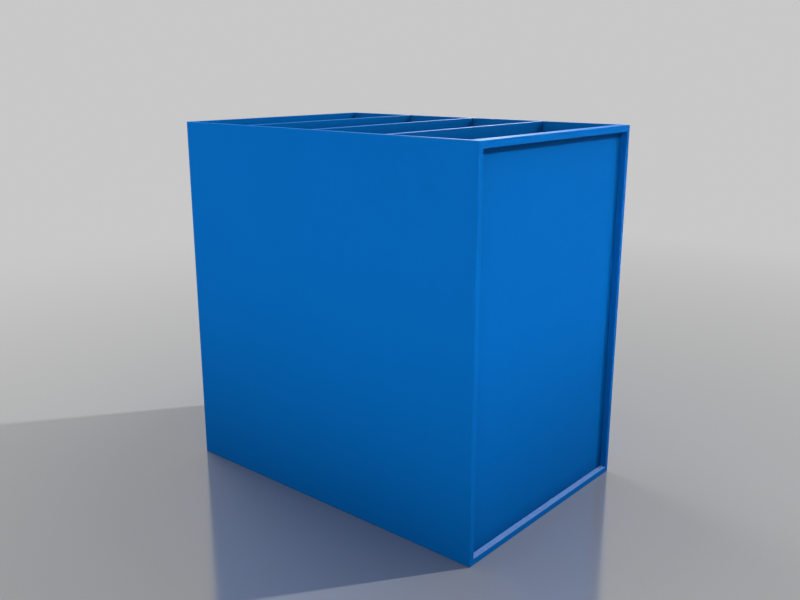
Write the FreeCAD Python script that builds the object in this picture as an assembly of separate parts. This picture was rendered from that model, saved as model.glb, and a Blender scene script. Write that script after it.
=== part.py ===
import FreeCAD, Part
import os

os.makedirs("parts", exist_ok=True)

# A desktop drawer unit: a housing of flat plastic panels with four bays, and a drawer in each.
# It is modelled lying on its back, with the mouths of the bays up.
# +Z points out of the mouths, the way that the drawers slide out.
# -Y is the top in use, with its shallow tray, and +Y is the base that the unit stands on in use.
# The origin is the middle of the back's outer face. All sizes are in millimetres.

# Housing panels
side_thickness = 2.5
back_thickness = 3.0
base_thickness = 3.0
shelf_thickness = 3.0
tray_thickness = 2.8
tray_depth = 3.0
lip_thickness = 3.0

# Bays
bay_count = 4
bay_width = 118.0
bay_height = 41.0
bay_depth = 177.5

# Joints between the panels: a tongue on a panel's end sits in a groove of its neighbour.
# A tongue keeps the cover behind a face that shows, and stops short of an edge that shows.
tongue = 1.0
tongue_cover = 1.0
tongue_stop = 4.0
edge_break = 0.2

# Drawer panels
front_thickness = 3.0
wall_thickness = 2.0
drawer_back_thickness = 2.0
floor_thickness = 2.0
floor_inset = 1.5
drawer_tongue = 0.8
drawer_tongue_cover = 0.8
drawer_edge_break = 0.4

# Drawer clearances in the bay
front_setback = 9.0
side_clearance = 0.5
runner_clearance = 0.4
roof_clearance = 0.6
rear_clearance = 1.0

# Finger notch in the upper edge of each drawer's front
notch_width = 32.0
notch_depth = 16.0
notch_radius = 8.0
notch_entry_radius = 3.0

# Stop blocks under the roof of each bay, just behind the drawer's front
stop_width = 8.0
stop_length = 6.0
stop_drop = 3.0
stop_catch = 1.5
stop_clearance = 0.3
tilt_clearance = 3.6

# Two places closer than this are the same place
same_place = 1e-6

# Sizes of the whole housing
bay_pitch = bay_height + shelf_thickness
outer_width = bay_width + 2 * side_thickness
outer_depth = tray_depth + tray_thickness + bay_count * bay_pitch - shelf_thickness + base_thickness
outer_height = back_thickness + bay_depth

# Planes that the panels share
tray_rim = -outer_depth / 2
tray_floor = tray_rim + tray_depth
first_roof = tray_floor + tray_thickness
base_outside = outer_depth / 2
base_inside = base_outside - base_thickness
lip_inside = outer_height - lip_thickness
mouth = outer_height


def block(x, y, z):
    """A box between the low and high values of x, y and z."""
    corner = FreeCAD.Vector(x[0], y[0], z[0])
    return Part.makeBox(x[1] - x[0], y[1] - y[0], z[1] - z[0], corner)


def across(width):
    """The low and high x of something of this width, centred on the unit."""
    return (-width / 2, width / 2)


def broken_block(x, y, z, size):
    """A box with all twelve edges chamfered by size."""
    whole = block(x, y, z)
    return whole.makeChamfer(size, whole.Edges)


def without(shape, tools):
    """The shape with the grooves that the given neighbours fill."""
    for tool in tools:
        shape = shape.cut(tool)
    return shape


def save(name, shape):
    """Write one sub-part."""
    shape.exportStep("parts/" + name + ".step")


def housing_panels():
    """The panels of the housing, each with its tongues and grooves, by name."""
    between = across(bay_width)
    into_sides = across(bay_width + 2 * tongue)
    into_back = back_thickness - tongue
    tongue_top = mouth - tongue_stop

    # A shelf is let into both sides and the back. Its side tongues stop below the mouth.
    shelves = []
    for index in range(1, bay_count):
        low = first_roof + index * bay_pitch - shelf_thickness
        y = (low, low + shelf_thickness)
        shelf = block(between, y, (back_thickness, mouth))
        shelves.append(shelf.fuse(block(into_sides, y, (into_back, tongue_top))))

    # The tray's panel is let into both sides, the back and the lip. Its tongues are thinner than
    # the panel, so that the floor of the tray ends where it meets its rims.
    y = (tray_floor + tongue_cover, first_roof)
    tray = block(between, (tray_floor, first_roof), (back_thickness, lip_inside))
    tray = tray.fuse(block(between, y, (into_back, lip_inside + tongue)))
    tray = tray.fuse(block(into_sides, y, (into_back, tongue_top)))

    # The lip closes the tray along the mouth and covers the edge of the tray's panel.
    lip = block(between, (tray_rim, first_roof), (lip_inside, mouth))

    # The base runs the whole height. Its side tongues are covered at its outer face.
    base = block(between, (base_inside, base_outside), (0, mouth))
    y = (base_inside, base_outside - tongue_cover)
    base = base.fuse(block(into_sides, y, (tongue_stop, tongue_top)))

    # The back is let into both sides and the base. Its front edge is the tray's lower rim.
    back = block(between, (tray_rim, base_inside), (0, back_thickness))
    z = (tongue_cover, back_thickness)
    back = back.fuse(block(into_sides, (tray_rim + tongue_stop, base_inside), z))
    back = back.fuse(block(between, (base_inside, base_inside + tongue), z))

    inner = shelves + [tray]
    back = without(back, inner)
    base = without(base, [back])
    lip = without(lip, [tray])

    # Each side is one plain panel that covers the ends of all the others.
    neighbours = inner + [lip, base, back]
    depth = (tray_rim, base_outside)
    height = (0, mouth)
    left = block((-outer_width / 2, -bay_width / 2), depth, height)
    right = block((bay_width / 2, outer_width / 2), depth, height)

    panels = {
        "side_panel_left": without(left, neighbours),
        "side_panel_right": without(right, neighbours),
        "back_panel": back,
        "base_panel": base,
        "tray_panel": tray,
        "tray_lip": lip,
    }
    for number, shelf in enumerate(shelves, start=1):
        panels["shelf_" + str(number)] = shelf

    # The outer edges of the assembled housing are broken as one box.
    envelope = broken_block(across(outer_width), depth, height, edge_break)
    return {name: panel.common(envelope) for name, panel in panels.items()}


# Levels along the slide, and heights above the floor of a bay, for a closed drawer
front_outside = mouth - front_setback
front_inside = front_outside - front_thickness
rear_outside = back_thickness + rear_clearance
rear_inside = rear_outside + drawer_back_thickness
stop_top = front_inside - stop_clearance
stop_bottom = stop_top - stop_length
drawer_width = bay_width - 2 * side_clearance
front_top = bay_height - roof_clearance
stop_underside = bay_height - stop_drop
back_top = stop_underside + stop_catch
wall_top = stop_underside - tilt_clearance

# How far a drawer slides out before its back meets the stop blocks
travel = stop_bottom - rear_inside - stop_clearance


def heights(low, high):
    """The y range between two heights above the floor of the first bay."""
    floor = first_roof + bay_height
    return (floor - high, floor - low)


def line(start, end):
    """A straight edge in the plane of a drawer front's inner face."""
    z = front_inside
    return Part.makeLine(FreeCAD.Vector(start[0], start[1], z), FreeCAD.Vector(end[0], end[1], z))


def arc(centre, radius, start, end):
    """An arc in the same plane, from one angle to the other."""
    middle = FreeCAD.Vector(centre[0], centre[1], front_inside)
    return Part.makeCircle(radius, middle, FreeCAD.Vector(0, 0, 1), start, end)


def edges_on(shape, axis, value, along=None):
    """The edges that lie on a plane across the axis, all of them or those along another axis."""
    found = []
    for edge in shape.Edges:
        box = edge.BoundBox
        on_low = abs(getattr(box, axis + "Min") - value) < same_place
        on_high = abs(getattr(box, axis + "Max") - value) < same_place
        if on_low and on_high and (along is None or getattr(box, along + "Length") > same_place):
            found.append(edge)
    return found


def finger_notch():
    """The solid of the finger notch: a slot with rounded lower corners and rounded entries."""
    top = heights(0, front_top)[0]
    bottom = top + notch_depth
    half = notch_width / 2
    entry = half + notch_entry_radius
    above = top - notch_entry_radius
    low_centre = bottom - notch_radius
    high_centre = top + notch_entry_radius
    outline = [
        line((entry, top), (entry, above)),
        line((entry, above), (-entry, above)),
        line((-entry, above), (-entry, top)),
        arc((-entry, high_centre), notch_entry_radius, 270, 360),
        line((-half, high_centre), (-half, low_centre)),
        arc((-half + notch_radius, low_centre), notch_radius, 90, 180),
        line((-half + notch_radius, bottom), (half - notch_radius, bottom)),
        arc((half - notch_radius, low_centre), notch_radius, 0, 90),
        line((half, low_centre), (half, high_centre)),
        arc((entry, high_centre), notch_entry_radius, 180, 270),
    ]
    face = Part.Face(Part.Wire(outline))
    return face.extrude(FreeCAD.Vector(0, 0, front_thickness))


def drawer_panels():
    """The five panels of the first bay's drawer, each with its tongues and grooves, by name."""
    wide = across(drawer_width)
    inner_width = drawer_width - 2 * wall_thickness
    along = (rear_inside, front_inside)
    into_ends = (rear_inside - drawer_tongue, front_inside + drawer_tongue)

    # The floor is let into the walls, the front and the back, above their lower edges.
    underside = runner_clearance + floor_inset
    y = heights(underside, underside + floor_thickness)
    floor = block(across(inner_width), y, into_ends)
    floor = floor.fuse(block(across(inner_width + 2 * drawer_tongue), y, along))

    # Each wall is let into the front and the back. Its lower edge is the drawer's runner.
    y = heights(runner_clearance, wall_top)
    y_tongue = heights(runner_clearance + drawer_tongue_cover, wall_top - drawer_tongue_cover)
    walls = []
    for side in (-1, 1):
        inner_face = side * inner_width / 2
        outer_face = side * drawer_width / 2
        covered = outer_face - side * drawer_tongue_cover
        wall = block(sorted((inner_face, outer_face)), y, along)
        upper = edges_on(wall, "Y", y[0], along="Z")
        wall = wall.makeChamfer(drawer_edge_break, upper)
        wall = wall.fuse(block(sorted((inner_face, covered)), y_tongue, into_ends))
        walls.append(without(wall, [floor]))

    # The back stands higher than the walls, so that it meets the stop blocks.
    y = heights(runner_clearance, back_top)
    back = block(wide, y, (rear_outside, rear_inside))
    outline = edges_on(back, "Z", rear_outside)
    back = back.makeChamfer(drawer_edge_break, outline)
    back = without(back, walls + [floor])

    # The front covers the ends of the walls, and its whole outline is broken.
    y = heights(runner_clearance, front_top)
    front = block(wide, y, (front_inside, front_outside))
    front = front.cut(finger_notch())
    outline = edges_on(front, "Z", front_outside)
    front = front.makeChamfer(drawer_edge_break, outline)
    front = without(front, walls + [floor])

    return {
        "drawer_wall_left": walls[0],
        "drawer_wall_right": walls[1],
        "drawer_floor": floor,
        "drawer_back": back,
        "drawer_front": front,
    }


def stop_blocks():
    """The two stop blocks of the first bay, bonded in the corners of its roof."""
    y = heights(stop_underside, bay_height)
    z = (stop_bottom, stop_top)
    pair = []
    for side in (-1, 1):
        outer = side * bay_width / 2
        x = sorted((outer, outer - side * stop_width))
        pair.append(block(x, y, z))
    return Part.makeCompound(pair)


for name, panel in housing_panels().items():
    save(name, panel)

bay_pieces = drawer_panels()
bay_pieces["stop_blocks"] = stop_blocks()
for bay in range(bay_count):
    for name, piece in bay_pieces.items():
        save(name + "_" + str(bay + 1), piece.translated(FreeCAD.Vector(0, bay * bay_pitch, 0)))

print("Each drawer slides out by", round(travel, 3), "mm")
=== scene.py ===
import math

import bpy
from mathutils import Matrix, Vector


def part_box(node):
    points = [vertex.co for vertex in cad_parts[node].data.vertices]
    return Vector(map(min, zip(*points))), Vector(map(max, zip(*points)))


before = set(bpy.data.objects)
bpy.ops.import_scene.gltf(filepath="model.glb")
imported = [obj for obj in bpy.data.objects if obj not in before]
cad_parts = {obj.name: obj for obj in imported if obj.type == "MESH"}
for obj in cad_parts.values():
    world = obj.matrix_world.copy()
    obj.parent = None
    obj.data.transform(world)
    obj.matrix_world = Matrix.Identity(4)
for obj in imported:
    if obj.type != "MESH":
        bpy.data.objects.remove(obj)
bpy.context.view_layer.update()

# A desktop drawer unit of blue plastic, lying on its back as it was photographed: a housing with a
# shallow tray in the face towards -Y, and four drawers that slide out along +Z.
# All lengths are in metres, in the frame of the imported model.

bl_info = {
    "name": "Drawer Unit Finish",
    "version": (1, 0, 0),
    "blender": (4, 5, 0),
    "location": "3D View > Sidebar > Drawer Unit",
    "description": "Finishes the plastic of a desktop drawer unit and sets it in a plain studio",
    "category": "Object",
}

# Places on the unit that its finish and its lights follow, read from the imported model
SURFACE_MARGIN = 0.0001
SKIN = 0.001
TRAY_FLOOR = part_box("tray_panel")[0].y
LEDGE_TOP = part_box("back_panel")[1].z + SKIN / 2
WALL_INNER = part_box("drawer_wall_right_1")[0].x
WALL_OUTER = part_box("drawer_wall_right_1")[1].x
INSIDE_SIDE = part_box("side_panel_right")[1].x - SKIN
INSIDE_TRAY = TRAY_FLOOR + SKIN
INSIDE_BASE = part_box("base_panel")[1].y - SKIN
INSIDE_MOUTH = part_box("tray_lip")[1].z - SURFACE_MARGIN

# How much each kind of wear, and the highlight painted on the ledge, changes the roughness
GRAIN_ROUGHNESS = 0.10
SCUFF_ROUGHNESS = 0.10
TRACK_POLISH = 0.08
RUBBED_POLISH = 0.04
LEDGE_HIGHLIGHT_ROUGHNESS = 0.30

# How much each piece's colour is darkened in its closed corners, as painted shade
TRAY_CORNER_SHADE = 0.9
SHELF_CORNER_SHADE = 0.5
DRAWER_CORNER_SHADE = 0.6

# Where the lights stand round the unit, in degrees from +X towards +Y
KEY_SIDE = -34.6
RIM_SIDE = 33.0
BACK_SIDE = 80.0
LEFT_SIDE = 180.0
TRAY_SIDE = 270.0


class PlasticSettings(bpy.types.PropertyGroup):
    """The moulded plastic that the whole unit is made of."""

    colour: bpy.props.FloatVectorProperty(
        name="Colour",
        description="Colour of the plastic",
        subtype="COLOR",
        size=3,
        min=0.0,
        max=1.0,
        default=(0.0007, 0.130, 0.470),
    )
    pale_colour: bpy.props.FloatVectorProperty(
        name="Pale Colour",
        description="Colour of the plastic where an edge or a scuff has turned pale",
        subtype="COLOR",
        size=3,
        min=0.0,
        max=1.0,
        default=(0.052, 0.225, 0.590),
    )
    roughness: bpy.props.FloatProperty(
        name="Roughness",
        description="Mean roughness of the satin surface",
        subtype="FACTOR",
        min=0.0,
        max=1.0,
        default=0.60,
    )
    specular: bpy.props.FloatProperty(
        name="Specular",
        description="Strength of the reflection seen straight on, where 0.5 is common plastic",
        subtype="FACTOR",
        min=0.0,
        max=1.0,
        default=0.02,
    )
    mottle: bpy.props.FloatProperty(
        name="Mottle",
        description="How far the tone drifts from place to place, as a share of the colour",
        subtype="FACTOR",
        min=0.0,
        max=0.5,
        default=0.022,
    )
    grain_size: bpy.props.FloatProperty(
        name="Grain Size",
        description="Size of one grain of the satin surface",
        subtype="DISTANCE",
        unit="LENGTH",
        min=0.00005,
        precision=5,
        default=0.00035,
    )
    grain_depth: bpy.props.FloatProperty(
        name="Grain Depth",
        description="Depth of the satin grain",
        subtype="DISTANCE",
        unit="LENGTH",
        min=0.0,
        precision=6,
        default=0.000006,
    )


class WearSettings(bpy.types.PropertyGroup):
    """What light use has left on the plastic."""

    edge_width: bpy.props.FloatProperty(
        name="Edge Width",
        description="How far from an edge the rubbed line reaches",
        subtype="DISTANCE",
        unit="LENGTH",
        min=0.0,
        precision=5,
        default=0.0005,
    )
    edge_amount: bpy.props.FloatProperty(
        name="Edge Amount",
        description="How pale the rubbed edges are",
        subtype="FACTOR",
        min=0.0,
        max=1.0,
        default=0.30,
    )
    scuff_length: bpy.props.FloatProperty(
        name="Scuff Length",
        description="Length of a hairline scuff",
        subtype="DISTANCE",
        unit="LENGTH",
        min=0.001,
        default=0.022,
    )
    # The next two settings paint shade into the inner corners: the colour turns darker there.
    corner_shade_reach: bpy.props.FloatProperty(
        name="Corner Shade Reach",
        description="How far the painted shade reaches out of an inner corner",
        subtype="DISTANCE",
        unit="LENGTH",
        min=0.0,
        default=0.012,
    )
    corner_shade_colour: bpy.props.FloatVectorProperty(
        name="Corner Shade Colour",
        description="Colour of the plastic under the painted shade of the inner corners",
        subtype="COLOR",
        size=3,
        min=0.0,
        max=1.0,
        default=(0.0001, 0.016, 0.050),
    )
    # Painted shade: the faces that line the bays take this darker, less blue colour.
    bay_shade_colour: bpy.props.FloatVectorProperty(
        name="Bay Shade Colour",
        description="Colour of the plastic inside the bays, painted darker as shade",
        subtype="COLOR",
        size=3,
        min=0.0,
        max=1.0,
        default=(0.0024, 0.135, 0.380),
    )
    # Painted highlight: the top of the tray's ledge is given this pale colour.
    ledge_highlight_colour: bpy.props.FloatVectorProperty(
        name="Ledge Highlight Colour",
        description="Colour of the painted bloom on the ledge of the tray",
        subtype="COLOR",
        size=3,
        min=0.0,
        max=1.0,
        default=(0.335, 0.50, 0.84),
    )
    # Painted shade: the floor of the tray is made darker by this share.
    tray_shade: bpy.props.FloatProperty(
        name="Tray Shade",
        description="Share of the colour's brightness taken away as painted shade on the floor of the tray",
        subtype="FACTOR",
        min=0.0,
        max=1.0,
        default=0.07,
    )
    # Painted highlight: how much of the ledge takes the pale colour.
    ledge_highlight_amount: bpy.props.FloatProperty(
        name="Ledge Highlight Amount",
        description="How much of the plastic the bloom hides",
        subtype="FACTOR",
        min=0.0,
        max=1.0,
        default=0.60,
    )


class StudioSettings(bpy.types.PropertyGroup):
    """The floor, the lights and the camera."""

    floor_colour: bpy.props.FloatVectorProperty(
        name="Floor Colour",
        description="Colour of the floor near the unit",
        subtype="COLOR",
        size=3,
        min=0.0,
        max=1.0,
        default=(0.515, 0.515, 0.515),
    )
    floor_polish: bpy.props.FloatProperty(
        name="Floor Polish",
        description="Share of the floor's look that mirrors what stands on it",
        subtype="FACTOR",
        min=0.0,
        max=1.0,
        default=0.27,
    )
    contact_reach: bpy.props.FloatProperty(
        name="Contact Reach",
        description="How far the shade under and beside the unit spreads over the floor",
        subtype="DISTANCE",
        unit="LENGTH",
        min=0.0,
        default=0.10,
    )
    contact_shade: bpy.props.FloatProperty(
        name="Contact Shade",
        description="How much darker the floor is where the unit closes it in",
        subtype="FACTOR",
        min=0.0,
        max=1.0,
        default=0.35,
    )
    floor_bounce: bpy.props.FloatProperty(
        name="Floor Bounce",
        description="Share of the light that the floor throws back at the unit",
        subtype="FACTOR",
        min=0.0,
        max=1.0,
        default=0.36,
    )
    backdrop_colour: bpy.props.FloatVectorProperty(
        name="Backdrop Colour",
        description="Colour of the backdrop, which the floor fades into",
        subtype="COLOR",
        size=3,
        min=0.0,
        max=1.0,
        default=(0.578, 0.578, 0.578),
    )
    fade_start: bpy.props.FloatProperty(
        name="Fade Start",
        description="Distance from the unit's middle at which the floor starts to fade",
        subtype="DISTANCE",
        unit="LENGTH",
        default=0.15,
    )
    fade_end: bpy.props.FloatProperty(
        name="Fade End",
        description="Distance from the unit's middle at which the floor meets the backdrop",
        subtype="DISTANCE",
        unit="LENGTH",
        default=0.72,
    )
    sky_strength: bpy.props.FloatProperty(
        name="Sky Strength",
        description="Strength of the even light from all round",
        default=0.23,
    )
    key_strength: bpy.props.FloatProperty(
        name="Key Strength",
        description="Strength of the key light, in watts per square metre",
        default=1.90,
    )
    key_softness: bpy.props.FloatProperty(
        name="Key Softness",
        description="Apparent width of the key light",
        subtype="ANGLE",
        unit="ROTATION",
        default=math.radians(1.5),
    )
    left_level: bpy.props.FloatProperty(
        name="Left Strip Level",
        description="Radiance of the long strip light on the left",
        default=0.695,
    )
    front_level: bpy.props.FloatProperty(
        name="Front Strips Level",
        description="Radiance of the strip lights that face the tray",
        default=0.445,
    )
    right_level: bpy.props.FloatProperty(
        name="Right Strip Level",
        description="Radiance of the strip light on the key light's side",
        default=0.178,
    )
    over_level: bpy.props.FloatProperty(
        name="Over Strip Level",
        description="Radiance of the strip light that reaches only drawers pulled out",
        default=0.46,
    )
    rim_power: bpy.props.FloatProperty(
        name="Rim Power",
        description="Power of the soft light behind the unit, in watts",
        default=6.2,
    )
    back_power: bpy.props.FloatProperty(
        name="Back Power",
        description="Power of the soft fill light behind the base, in watts",
        default=9.2,
    )
    top_power: bpy.props.FloatProperty(
        name="Top Power",
        description="Power of the soft light overhead, in watts",
        default=6.3,
    )


def add(tree, kind, inputs=None, **settings):
    """A new node. An input is given by name or number, as a value or as the socket that feeds it."""
    node = tree.nodes.new(kind)
    for name, value in settings.items():
        setattr(node, name, value)
    for name, value in (inputs or {}).items():
        if isinstance(value, bpy.types.NodeSocket):
            tree.links.new(value, node.inputs[name])
        else:
            node.inputs[name].default_value = value
    return node


def maths(tree, operation, first, second=0.0):
    """The result of one Math node."""
    return add(tree, "ShaderNodeMath", {0: first, 1: second}, operation=operation).outputs[0]


def scaled(tree, value, low, high, to_low=0.0, to_high=1.0):
    """The value carried from the range low to high into another range, held at its ends."""
    spans = {"Value": value, "From Min": low, "From Max": high, "To Min": to_low, "To Max": to_high}
    return add(tree, "ShaderNodeMapRange", spans).outputs["Result"]


def blended(tree, share, first, second):
    """Two colours, blended by a share of the second."""
    node = add(tree, "ShaderNodeMix", {"Factor": share}, data_type="RGBA")
    for socket, value in ((node.inputs[6], first), (node.inputs[7], second)):
        if isinstance(value, bpy.types.NodeSocket):
            tree.links.new(value, socket)
        else:
            socket.default_value = value
    return node.outputs[2]


def noise(tree, vector, scale, detail=2.0, roughness=0.5):
    """The height of a noise texture, from 0 to 1."""
    inputs = {"Vector": vector, "Scale": scale, "Detail": detail, "Roughness": roughness}
    return add(tree, "ShaderNodeTexNoise", inputs).outputs["Fac"]


def object_place(tree):
    """The place on the unit, in metres."""
    return add(tree, "ShaderNodeTexCoord").outputs["Object"]


def new_group(name, inputs, outputs):
    """An empty shader node group, with its input and output nodes."""
    tree = bpy.data.node_groups.new(name, "ShaderNodeTree")
    for label, kind, default in inputs:
        socket = tree.interface.new_socket(label, in_out="INPUT", socket_type=kind)
        socket.default_value = default
    for label, kind in outputs:
        tree.interface.new_socket(label, in_out="OUTPUT", socket_type=kind)
    return tree, tree.nodes.new("NodeGroupInput"), tree.nodes.new("NodeGroupOutput")


def tone_group():
    """Mottled Tone: the colour, made lighter and darker by patches of about 36 mm and 7 mm."""
    wide_patches, narrow_patches = 28.0, 140.0
    inputs = [("Colour", "NodeSocketColor", (1.0, 1.0, 1.0, 1.0)), ("Amount", "NodeSocketFloat", 0.03)]
    tree, given, result = new_group("Mottled Tone", inputs, [("Colour", "NodeSocketColor")])
    place = object_place(tree)
    wide = noise(tree, place, wide_patches)
    narrow = noise(tree, place, narrow_patches)
    drift = maths(tree, "SUBTRACT", maths(tree, "ADD", wide, narrow), 1.0)
    swing = maths(tree, "MULTIPLY", drift, maths(tree, "MULTIPLY", given.outputs["Amount"], 2.0))
    level = maths(tree, "ADD", swing, 1.0)
    tinted = add(tree, "ShaderNodeVectorMath", {0: given.outputs["Colour"], 1: level}, operation="MULTIPLY")
    tree.links.new(tinted.outputs[0], result.inputs["Colour"])
    return tree


def grain_group():
    """Satin Grain: a fine noise of the given size, as a height and as a shift of roughness.

    Patches of about 17 mm shift the roughness as well.
    """
    patches_per_metre = 60.0
    outputs = [("Height", "NodeSocketFloat"), ("Roughness Shift", "NodeSocketFloat")]
    tree, given, result = new_group("Satin Grain", [("Size", "NodeSocketFloat", 0.00035)], outputs)
    place = object_place(tree)
    grains_per_metre = maths(tree, "DIVIDE", 1.0, given.outputs["Size"])
    grain = noise(tree, place, grains_per_metre, detail=3.0, roughness=0.6)
    patches = noise(tree, place, patches_per_metre)
    shift = maths(tree, "SUBTRACT", maths(tree, "ADD", grain, patches), 1.0)
    tree.links.new(grain, result.inputs["Height"])
    tree.links.new(shift, result.inputs["Roughness Shift"])
    return tree


def edge_group():
    """Edge Wear: where a surface with rounded edges would turn away from the real one, broken up.

    The turn is 1 less the cosine of the angle between the two. It starts to show at the least turn
    and shows fully at the full turn. Breaks of about 2.4 mm thin it out.
    """
    least_turn, full_turn = 0.02, 0.25
    breaks_per_metre = 420.0
    inputs = [("Width", "NodeSocketFloat", 0.0005)]
    tree, given, result = new_group("Edge Wear", inputs, [("Mask", "NodeSocketFloat")])
    rounded = add(tree, "ShaderNodeBevel", {"Radius": given.outputs["Width"]}, samples=6)
    real = add(tree, "ShaderNodeNewGeometry").outputs["Normal"]
    facing = add(tree, "ShaderNodeVectorMath", {0: rounded.outputs[0], 1: real}, operation="DOT_PRODUCT")
    turned = maths(tree, "SUBTRACT", 1.0, facing.outputs["Value"])
    near_edge = scaled(tree, turned, least_turn, full_turn)
    spots = noise(tree, object_place(tree), breaks_per_metre, detail=3.0)
    breaks = scaled(tree, spots, low=0.35, high=0.60, to_low=0.35)
    tree.links.new(maths(tree, "MULTIPLY", near_edge, breaks), result.inputs["Mask"])
    return tree


def closed_group():
    """Closed In: how much of the half space over the surface is closed in within the reach."""
    inputs = [("Reach", "NodeSocketFloat", 0.01)]
    tree, given, result = new_group("Closed In", inputs, [("Mask", "NodeSocketFloat")])
    open_share = add(tree, "ShaderNodeAmbientOcclusion", {"Distance": given.outputs["Reach"]}, samples=8)
    tree.links.new(maths(tree, "SUBTRACT", 1.0, open_share.outputs["AO"]), result.inputs["Mask"])
    return tree


def scuff_group():
    """Hairline Scuffs: three sets of noise, each stretched along its own direction and cut high.

    Only the highest of the noise shows, and only in patches of about 22 mm.
    """
    lines_per_metre = 1600.0
    patches_per_metre = 45.0
    directions = ((0.3, 0.5, 0.1), (1.1, 2.0, 0.7), (2.2, 0.9, 1.9))
    inputs = [("Length", "NodeSocketFloat", 0.02)]
    tree, given, result = new_group("Hairline Scuffs", inputs, [("Mask", "NodeSocketFloat")])
    place = object_place(tree)
    along = maths(tree, "DIVIDE", 1.0, given.outputs["Length"])
    total = None
    for turn in directions:
        turned = add(tree, "ShaderNodeMapping", {"Vector": place, "Rotation": turn})
        spacing = add(tree, "ShaderNodeCombineXYZ", {"X": lines_per_metre, "Y": lines_per_metre, "Z": along})
        factors = {0: turned.outputs[0], 1: spacing.outputs[0]}
        stretched = add(tree, "ShaderNodeVectorMath", factors, operation="MULTIPLY")
        lines = scaled(tree, noise(tree, stretched.outputs[0], scale=1.0, detail=1.0), low=0.70, high=0.78)
        total = lines if total is None else maths(tree, "MAXIMUM", total, lines)
    patches = scaled(tree, noise(tree, place, patches_per_metre), low=0.42, high=0.62)
    tree.links.new(maths(tree, "MULTIPLY", total, patches), result.inputs["Mask"])
    return tree


def track_group():
    """Runner Track: where the lower edges of a drawer's walls have rubbed, as two strips along Z.

    Fine streaks along Z, given by how many fit in a metre each way, break the strips up.
    """
    streaks_per_metre = (2600.0, 900.0, 25.0)
    inputs = [("Inner", "NodeSocketFloat", 0.0565), ("Outer", "NodeSocketFloat", 0.0585)]
    tree, given, result = new_group("Runner Track", inputs, [("Mask", "NodeSocketFloat")])
    place = object_place(tree)
    axes = add(tree, "ShaderNodeSeparateXYZ", {0: place})
    aside = maths(tree, "ABSOLUTE", axes.outputs["X"])
    inside = maths(tree, "GREATER_THAN", aside, given.outputs["Inner"])
    within = maths(tree, "LESS_THAN", aside, given.outputs["Outer"])
    streaks = add(tree, "ShaderNodeVectorMath", {0: place, 1: streaks_per_metre}, operation="MULTIPLY")
    breaks = scaled(tree, noise(tree, streaks.outputs[0], scale=1.0), low=0.38, high=0.60, to_low=0.3)
    strip = maths(tree, "MULTIPLY", inside, within)
    tree.links.new(maths(tree, "MULTIPLY", strip, breaks), result.inputs["Mask"])
    return tree


def ledge_highlight_group():
    """Mask of the pale highlight painted on the ledge: what faces up, lower than Top and in front of Wall.
    """
    specks_per_metre = 900.0
    inputs = [("Wall", "NodeSocketFloat", -0.088), ("Top", "NodeSocketFloat", 0.003)]
    tree, given, result = new_group("Ledge Highlight", inputs, [("Mask", "NodeSocketFloat")])
    place = object_place(tree)
    axes = add(tree, "ShaderNodeSeparateXYZ", {0: place})
    normal = add(tree, "ShaderNodeNewGeometry").outputs["Normal"]
    upward = add(tree, "ShaderNodeSeparateXYZ", {0: normal})
    facing_up = scaled(tree, upward.outputs["Z"], low=0.3, high=0.9)
    in_front = maths(tree, "LESS_THAN", axes.outputs["Y"], given.outputs["Wall"])
    below = maths(tree, "LESS_THAN", axes.outputs["Z"], given.outputs["Top"])
    specks = noise(tree, place, specks_per_metre, detail=3.0)
    layer = scaled(tree, specks, low=0.3, high=0.7, to_low=0.7)
    there = maths(tree, "MULTIPLY", in_front, below)
    mask = maths(tree, "MULTIPLY", maths(tree, "MULTIPLY", there, facing_up), layer)
    tree.links.new(mask, result.inputs["Mask"])
    return tree


def bay_shade_group():
    """Mask of the painted shade in the bays: 1 on what lies under the housing's outer faces and below its
    mouths, else 0.
    """
    inputs = [
        ("Side", "NodeSocketFloat", 0.06),
        ("Tray", "NodeSocketFloat", -0.087),
        ("Base", "NodeSocketFloat", 0.09),
        ("Mouth", "NodeSocketFloat", 0.18),
    ]
    tree, given, result = new_group("Bay Shade", inputs, [("Mask", "NodeSocketFloat")])
    axes = add(tree, "ShaderNodeSeparateXYZ", {0: object_place(tree)})
    limits = (
        ("LESS_THAN", maths(tree, "ABSOLUTE", axes.outputs["X"]), "Side"),
        ("GREATER_THAN", axes.outputs["Y"], "Tray"),
        ("LESS_THAN", axes.outputs["Y"], "Base"),
        ("LESS_THAN", axes.outputs["Z"], "Mouth"),
    )
    mask = 1.0
    for test, place, limit in limits:
        mask = maths(tree, "MULTIPLY", maths(tree, test, place, given.outputs[limit]), mask)
    tree.links.new(mask, result.inputs["Mask"])
    return tree


GROUP_MAKERS = {
    "Mottled Tone": tone_group,
    "Satin Grain": grain_group,
    "Edge Wear": edge_group,
    "Closed In": closed_group,
    "Hairline Scuffs": scuff_group,
    "Runner Track": track_group,
    "Ledge Highlight": ledge_highlight_group,
    "Bay Shade": bay_shade_group,
}


def effect(tree, name, inputs):
    """A shared effect, placed in a material with its own values. The group is built on first use."""
    group = bpy.data.node_groups.get(name) or GROUP_MAKERS[name]()
    return add(tree, "ShaderNodeGroup", inputs, node_tree=group)


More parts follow.
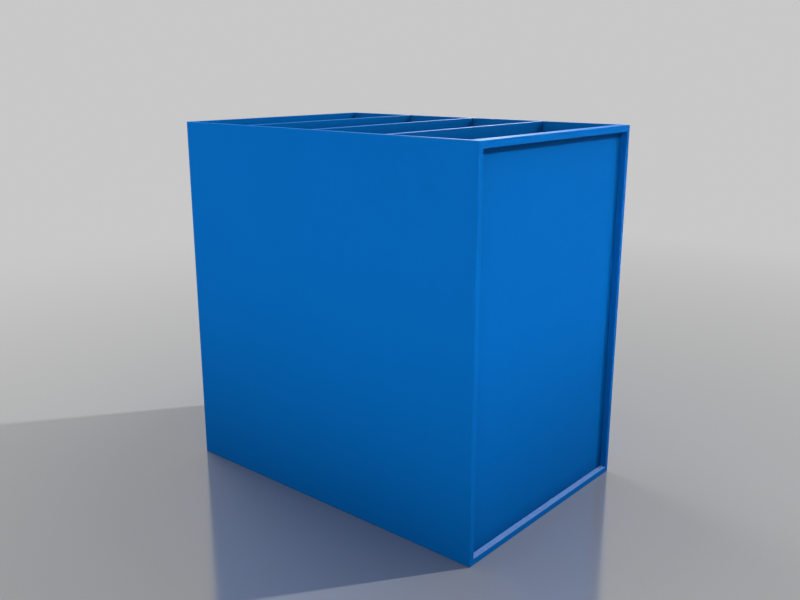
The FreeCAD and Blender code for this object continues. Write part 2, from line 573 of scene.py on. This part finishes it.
def plastic(
    context, name, inside=False, shade_share=0.0, polish=0.0, scuffs=0.0, tracks=0.0, corner_shade=0.0, highlight=0.0
):
    """The unit's plastic with this much of each kind of wear, of painted shade and of painted highlight.

    inside gives the faces that line the bays a darker, less blue colour as painted shade. One share
    darkens the whole colour and another the closed corners, both as painted shade, another paints a
    pale highlight on the ledge, and polish lowers the roughness.
    """
    blue = context.scene.drawer_unit_plastic
    wear = context.scene.drawer_unit_wear
    material = bpy.data.materials.new(name)
    material.use_nodes = True
    tree = material.node_tree
    shader = tree.nodes["Principled BSDF"]
    shader.inputs["Specular IOR Level"].default_value = blue.specular

    pale = (*blue.pale_colour, 1.0)
    # Painted shade: the colour is darkened by a share.
    own = (*((1.0 - shade_share) * part for part in blue.colour), 1.0)
    # Painted shade: the faces that line the bays turn to a darker, less blue colour.
    if inside:
        bay_limits = {"Side": INSIDE_SIDE, "Tray": INSIDE_TRAY, "Base": INSIDE_BASE, "Mouth": INSIDE_MOUTH}
        bay_mask = effect(tree, "Bay Shade", bay_limits).outputs["Mask"]
        own = blended(tree, bay_mask, own, (*wear.bay_shade_colour, 1.0))
    tone = effect(tree, "Mottled Tone", {"Colour": own, "Amount": blue.mottle})
    grain = effect(tree, "Satin Grain", {"Size": blue.grain_size})
    edges = effect(tree, "Edge Wear", {"Width": wear.edge_width}).outputs["Mask"]
    colour = blended(tree, maths(tree, "MULTIPLY", edges, wear.edge_amount), tone.outputs["Colour"], pale)
    swing = maths(tree, "MULTIPLY", grain.outputs["Roughness Shift"], GRAIN_ROUGHNESS)
    roughness = maths(tree, "ADD", swing, blue.roughness - polish)
    if scuffs:
        lines = effect(tree, "Hairline Scuffs", {"Length": wear.scuff_length}).outputs["Mask"]
        colour = blended(tree, maths(tree, "MULTIPLY", lines, scuffs), colour, pale)
        roughness = maths(tree, "ADD", roughness, maths(tree, "MULTIPLY", lines, SCUFF_ROUGHNESS))
    if tracks:
        strips = effect(tree, "Runner Track", {"Inner": WALL_INNER, "Outer": WALL_OUTER}).outputs["Mask"]
        colour = blended(tree, maths(tree, "MULTIPLY", strips, tracks), colour, pale)
        roughness = maths(tree, "SUBTRACT", roughness, maths(tree, "MULTIPLY", strips, TRACK_POLISH))
    # Painted shade: the colour turns darker in corners that are closed in, where shade falls.
    if corner_shade:
        corners = effect(tree, "Closed In", {"Reach": wear.corner_shade_reach}).outputs["Mask"]
        colour = blended(tree, maths(tree, "MULTIPLY", corners, corner_shade), colour, (*wear.corner_shade_colour, 1.0))
    # Painted highlight: a pale colour on the top of the tray's ledge.
    if highlight:
        layer = effect(tree, "Ledge Highlight", {"Wall": TRAY_FLOOR, "Top": LEDGE_TOP}).outputs["Mask"]
        colour = blended(tree, maths(tree, "MULTIPLY", layer, highlight), colour, (*wear.ledge_highlight_colour, 1.0))
        roughness = maths(tree, "ADD", roughness, maths(tree, "MULTIPLY", layer, LEDGE_HIGHLIGHT_ROUGHNESS))
    relief = {"Height": grain.outputs["Height"], "Strength": 1.0, "Distance": blue.grain_depth}
    bump = add(tree, "ShaderNodeBump", relief)
    tree.links.new(colour, shader.inputs["Base Color"])
    tree.links.new(roughness, shader.inputs["Roughness"])
    tree.links.new(bump.outputs["Normal"], shader.inputs["Normal"])
    return material


def finish_nodes(material, names):
    """Gives CAD nodes their finished material."""
    for name in names:
        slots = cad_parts[name].data.materials
        slots.clear()
        slots.append(material)


def nodes_called(*starts):
    """The names of the CAD nodes that start so."""
    return [name for name in sorted(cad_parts) if name.startswith(starts)]


class DRAWERUNIT_OT_finish_housing(bpy.types.Operator):
    """Finish the panels of the housing that show from outside"""

    bl_idname = "drawer_unit.finish_housing"
    bl_label = "Finish Housing"

    def execute(self, context):
        # Where these panels line the bays, they get painted shade.
        outside = plastic(context, "housing_plastic_outside", inside=True, scuffs=0.10)
        finish_nodes(outside, nodes_called("side_panel", "base_panel", "tray_lip"))
        # The back panel's ledge gets a painted highlight.
        highlight = context.scene.drawer_unit_wear.ledge_highlight_amount
        back = plastic(context, "housing_plastic_back", inside=True, highlight=highlight)
        finish_nodes(back, ["back_panel"])
        return {"FINISHED"}


class DRAWERUNIT_OT_finish_tray(bpy.types.Operator):
    """Finish the floor of the tray, which is scuffed by what is laid in it"""

    bl_idname = "drawer_unit.finish_tray"
    bl_label = "Finish Tray"

    def execute(self, context):
        # The tray's floor gets painted shade: darker all over by a share, and more in its closed corners.
        shade_share = context.scene.drawer_unit_wear.tray_shade
        tray = plastic(
            context, "housing_plastic_tray", inside=True, shade_share=shade_share, scuffs=0.07, corner_shade=TRAY_CORNER_SHADE
        )
        finish_nodes(tray, ["tray_panel"])
        return {"FINISHED"}


class DRAWERUNIT_OT_finish_shelves(bpy.types.Operator):
    """Finish the shelves, which the drawers have rubbed, and the stop blocks under them"""

    bl_idname = "drawer_unit.finish_shelves"
    bl_label = "Finish Shelves"

    def execute(self, context):
        # Shelves and stop blocks get painted shade in their closed corners and where they line the bays.
        shelf = plastic(context, "housing_plastic_shelf", inside=True, tracks=0.25, corner_shade=SHELF_CORNER_SHADE)
        finish_nodes(shelf, nodes_called("shelf_"))
        stop = plastic(
            context, "housing_plastic_stop", inside=True, polish=RUBBED_POLISH, corner_shade=SHELF_CORNER_SHADE
        )
        finish_nodes(stop, nodes_called("stop_blocks"))
        return {"FINISHED"}


class DRAWERUNIT_OT_finish_drawers(bpy.types.Operator):
    """Finish the drawers: fronts polished by touch, plain boxes and scuffed floors"""

    bl_idname = "drawer_unit.finish_drawers"
    bl_label = "Finish Drawers"

    def execute(self, context):
        # Every part of the drawers gets painted shade in its closed corners.
        front = plastic(context, "drawer_plastic_front", polish=RUBBED_POLISH, corner_shade=DRAWER_CORNER_SHADE)
        finish_nodes(front, nodes_called("drawer_front"))
        box = plastic(context, "drawer_plastic_box", scuffs=0.10, corner_shade=DRAWER_CORNER_SHADE)
        finish_nodes(box, nodes_called("drawer_wall", "drawer_back"))
        floor = plastic(context, "drawer_plastic_floor", scuffs=0.30, corner_shade=DRAWER_CORNER_SHADE)
        finish_nodes(floor, nodes_called("drawer_floor"))
        return {"FINISHED"}


def seen_ray(tree):
    """1 for rays by which the camera sees something, straight, mirrored or through glass."""
    path = add(tree, "ShaderNodeLightPath").outputs
    mirrored = maths(tree, "MAXIMUM", path["Is Glossy Ray"], path["Is Transmission Ray"])
    return maths(tree, "MAXIMUM", path["Is Camera Ray"], mirrored)


def studio_floor(studio):
    """A flat floor that fades into the backdrop away from the unit, and bounces little light.

    It mirrors the unit a little, and is darker where the unit closes it in. A light that is given
    the Off_Floor collection doesn't fall on it.
    """
    reach = 12.0
    mirror_roughness = 0.12
    corners = [(-reach, -reach, 0.0), (reach, -reach, 0.0), (reach, reach, 0.0), (-reach, reach, 0.0)]
    mesh = bpy.data.meshes.new("Studio_Floor")
    mesh.from_pydata(corners, [], [(0, 1, 2, 3)])
    material = bpy.data.materials.new("studio_floor")
    material.use_nodes = True
    tree = material.node_tree
    tree.nodes.clear()
    closed = effect(tree, "Closed In", {"Reach": studio.contact_reach}).outputs["Mask"]
    shade = maths(tree, "MULTIPLY", closed, studio.contact_shade)
    tone = blended(tree, shade, (*studio.floor_colour, 1.0), (0.0, 0.0, 0.0, 1.0))
    near = add(tree, "ShaderNodeBsdfDiffuse", {"Color": tone})
    mirror = {"Color": (1.0, 1.0, 1.0, 1.0), "Roughness": mirror_roughness}
    sheen = add(tree, "ShaderNodeBsdfGlossy", mirror)
    shares = {0: studio.floor_polish, 1: near.outputs[0], 2: sheen.outputs[0]}
    polished = add(tree, "ShaderNodeMixShader", shares)
    far = add(tree, "ShaderNodeEmission", {"Color": (*studio.backdrop_colour, 1.0), "Strength": 1.0})
    away = add(tree, "ShaderNodeVectorMath", {0: object_place(tree)}, operation="LENGTH").outputs["Value"]
    fade = scaled(tree, away, studio.fade_start, studio.fade_end)
    shown = add(tree, "ShaderNodeMixShader", {0: fade, 1: polished.outputs[0], 2: far.outputs[0]})
    bounce = studio.floor_bounce
    plain = add(tree, "ShaderNodeBsdfDiffuse", {"Color": (bounce, bounce, bounce, 1.0)})
    both = add(tree, "ShaderNodeMixShader", {0: seen_ray(tree), 1: plain.outputs[0], 2: shown.outputs[0]})
    add(tree, "ShaderNodeOutputMaterial", {"Surface": both.outputs[0]})
    mesh.materials.append(material)
    floor = bpy.data.objects.new("Studio_Floor", mesh)
    bpy.context.scene.collection.objects.link(floor)
    aside = bpy.data.collections.new("Off_Floor")
    aside.objects.link(floor)
    aside.collection_objects[0].light_linking.link_state = "EXCLUDE"


def studio_sky(studio):
    """An even light from all round, which the camera sees as the plain backdrop."""
    world = bpy.data.worlds.new("Studio")
    world.use_nodes = True
    tree = world.node_tree
    tree.nodes.clear()
    backdrop = add(tree, "ShaderNodeBackground", {"Color": (*studio.backdrop_colour, 1.0), "Strength": 1.0})
    white = (1.0, 1.0, 1.0, 1.0)
    even = add(tree, "ShaderNodeBackground", {"Color": white, "Strength": studio.sky_strength})
    both = add(tree, "ShaderNodeMixShader", {0: seen_ray(tree), 1: even.outputs[0], 2: backdrop.outputs[0]})
    add(tree, "ShaderNodeOutputWorld", {"Surface": both.outputs[0]})
    bpy.context.scene.world = world


def lamp(name, data, place, turn, mirrored=True, off_floor=False):
    """Puts a light at a place, shining along -Z of its turn. off_floor keeps its light off the floor."""
    light = bpy.data.objects.new(name, data)
    bpy.context.scene.collection.objects.link(light)
    light.location = place
    light.rotation_euler = turn.to_euler()
    light.visible_camera = False
    light.visible_glossy = mirrored
    if off_floor:
        light.light_linking.receiver_collection = bpy.data.collections["Off_Floor"]


def direction(azimuth, elevation):
    """The unit vector at an azimuth from +X towards +Y and at a height over the floor, in degrees."""
    turn, rise = math.radians(azimuth), math.radians(elevation)
    return Vector((math.cos(turn) * math.cos(rise), math.sin(turn) * math.cos(rise), math.sin(rise)))


def softbox(name, power, size, target, towards, distance, mirrored=True, off_floor=False):
    """A rectangular soft light, seen from the target in a direction and at a distance."""
    data = bpy.data.lights.new(name, "AREA")
    data.shape = "RECTANGLE"
    data.size, data.size_y = size
    data.energy = power
    lamp(name, data, target + distance * towards, towards.to_track_quat("Z", "Y"), mirrored, off_floor)


def strip(name, level, size, spread, target, towards, distance, face):
    """A strip light with a grid, which lights a face of the unit between two heights only.

    Its long side lies so that the light falls alike all along the face, which is given by a
    direction along it. level is the radiance of the strip, size its length and height, and spread
    the opening of the grid in degrees.
    """
    length, height = size
    data = bpy.data.lights.new(name, "AREA")
    data.shape = "RECTANGLE"
    data.size, data.size_y = length, height
    data.spread = math.radians(spread)
    data.energy = level * math.pi * length * height
    short = towards.cross(face).normalized()
    turn = Matrix((short.cross(towards), short, towards)).transposed()
    lamp(name, data, target + distance * towards, turn, mirrored=False, off_floor=True)


def key_light(studio):
    """A crisp light from the right, which casts the unit's shadow."""
    elevation, distance = 28.6, 2.0
    data = bpy.data.lights.new("Key", "SUN")
    data.energy = studio.key_strength
    data.angle = studio.key_softness
    towards = direction(KEY_SIDE, elevation)
    lamp("Key", data, distance * towards, towards.to_track_quat("Z", "Y"), mirrored=False)


def soft_boxes(studio):
    """Soft lights overhead, behind the rims, where they gleam, and behind the base."""
    middle = Vector((0.0, 0.0, 0.15))
    softbox(
        "Top", studio.top_power, size=(0.8, 0.8), target=Vector(),
        towards=direction(0.0, 90.0), distance=1.2, mirrored=False, off_floor=True,
    )
    softbox(
        "Rim", studio.rim_power, size=(0.15, 0.15), target=middle,
        towards=direction(RIM_SIDE, 18.0), distance=1.2, off_floor=True,
    )
    softbox(
        "Back", studio.back_power, size=(0.8, 0.5), target=middle,
        towards=direction(BACK_SIDE, 20.0), distance=1.5, mirrored=False,
    )


def fill_strips(studio):
    """Strips with grids, which light the plain face and the tray and leave their lower ends darker.

    A face is lit from the height at which the grid lets the strip's lower edge through. Over lights
    only drawers that are pulled out.
    """
    along_x, along_y = Vector((1.0, 0.0, 0.0)), Vector((0.0, 1.0, 0.0))
    strip(
        "Left", studio.left_level, size=(3.0, 0.255), spread=53.5, target=Vector((0.0, 0.0, 0.15)),
        towards=direction(LEFT_SIDE, 0.0), distance=0.32, face=along_y,
    )
    strip(
        "Tray_Low", 0.96 * studio.front_level, size=(0.4, 0.121), spread=7.3,
        target=Vector((0.0, TRAY_FLOOR, 0.106)),
        towards=direction(TRAY_SIDE, 44.0), distance=0.504, face=along_x,
    )
    strip(
        "Tray_High", 0.58 * studio.front_level, size=(0.4, 0.084), spread=5.6,
        target=Vector((0.0, TRAY_FLOOR, 0.135)),
        towards=direction(TRAY_SIDE, 44.0), distance=0.504, face=along_x,
    )
    strip(
        "Right", studio.right_level, size=(0.4, 0.30), spread=11.3,
        target=Vector((0.0, TRAY_FLOOR, 0.21)),
        towards=direction(KEY_SIDE, 0.0), distance=0.504, face=along_x,
    )
    strip(
        "Over", studio.over_level, size=(0.4, 0.15), spread=8.0,
        target=Vector((0.0, TRAY_FLOOR, 0.28)),
        towards=direction(TRAY_SIDE, 0.0), distance=0.6, face=along_x,
    )


def studio_camera():
    """The camera of the photograph, low in front of the unit's left corner."""
    data = bpy.data.cameras.new("Camera")
    data.sensor_width = 32.0
    data.lens = 35.0
    data.clip_start = 0.01
    camera = bpy.data.objects.new("Camera", data)
    camera.location = (-0.33319, -0.28491, 0.20742)
    camera.rotation_euler = (math.radians(75.064), 0.0, math.radians(-49.333))
    bpy.context.scene.collection.objects.link(camera)
    bpy.context.scene.camera = camera


class DRAWERUNIT_OT_set_studio(bpy.types.Operator):
    """Set up the plain floor, the soft lights and the camera"""

    bl_idname = "drawer_unit.set_studio"
    bl_label = "Set Studio"

    def execute(self, context):
        studio = context.scene.drawer_unit_studio
        context.scene.view_settings.view_transform = "Standard"
        studio_floor(studio)
        studio_sky(studio)
        key_light(studio)
        soft_boxes(studio)
        fill_strips(studio)
        studio_camera()
        return {"FINISHED"}


STEPS = ("finish_housing", "finish_tray", "finish_shelves", "finish_drawers", "set_studio")


class DRAWERUNIT_PT_panel(bpy.types.Panel):
    """The steps of the finish, and the sizes and colours that they follow"""

    bl_idname = "DRAWERUNIT_PT_panel"
    bl_label = "Drawer Unit"
    bl_space_type = "VIEW_3D"
    bl_region_type = "UI"
    bl_category = "Drawer Unit"

    def draw(self, context):
        for step in STEPS:
            self.layout.operator("drawer_unit." + step)
        scene = context.scene
        for settings in (scene.drawer_unit_plastic, scene.drawer_unit_wear, scene.drawer_unit_studio):
            box = self.layout.box()
            for name in settings.__annotations__:
                box.prop(settings, name)


CLASSES = (
    PlasticSettings,
    WearSettings,
    StudioSettings,
    DRAWERUNIT_OT_finish_housing,
    DRAWERUNIT_OT_finish_tray,
    DRAWERUNIT_OT_finish_shelves,
    DRAWERUNIT_OT_finish_drawers,
    DRAWERUNIT_OT_set_studio,
    DRAWERUNIT_PT_panel,
)


def register():
    for cls in CLASSES:
        bpy.utils.register_class(cls)
    bpy.types.Scene.drawer_unit_plastic = bpy.props.PointerProperty(type=PlasticSettings)
    bpy.types.Scene.drawer_unit_wear = bpy.props.PointerProperty(type=WearSettings)
    bpy.types.Scene.drawer_unit_studio = bpy.props.PointerProperty(type=StudioSettings)


def unregister():
    del bpy.types.Scene.drawer_unit_studio
    del bpy.types.Scene.drawer_unit_wear
    del bpy.types.Scene.drawer_unit_plastic
    for cls in reversed(CLASSES):
        bpy.utils.unregister_class(cls)


def main():
    register()
    for step in STEPS:
        getattr(bpy.ops.drawer_unit, step)()


if __name__ == "__main__":
    main()
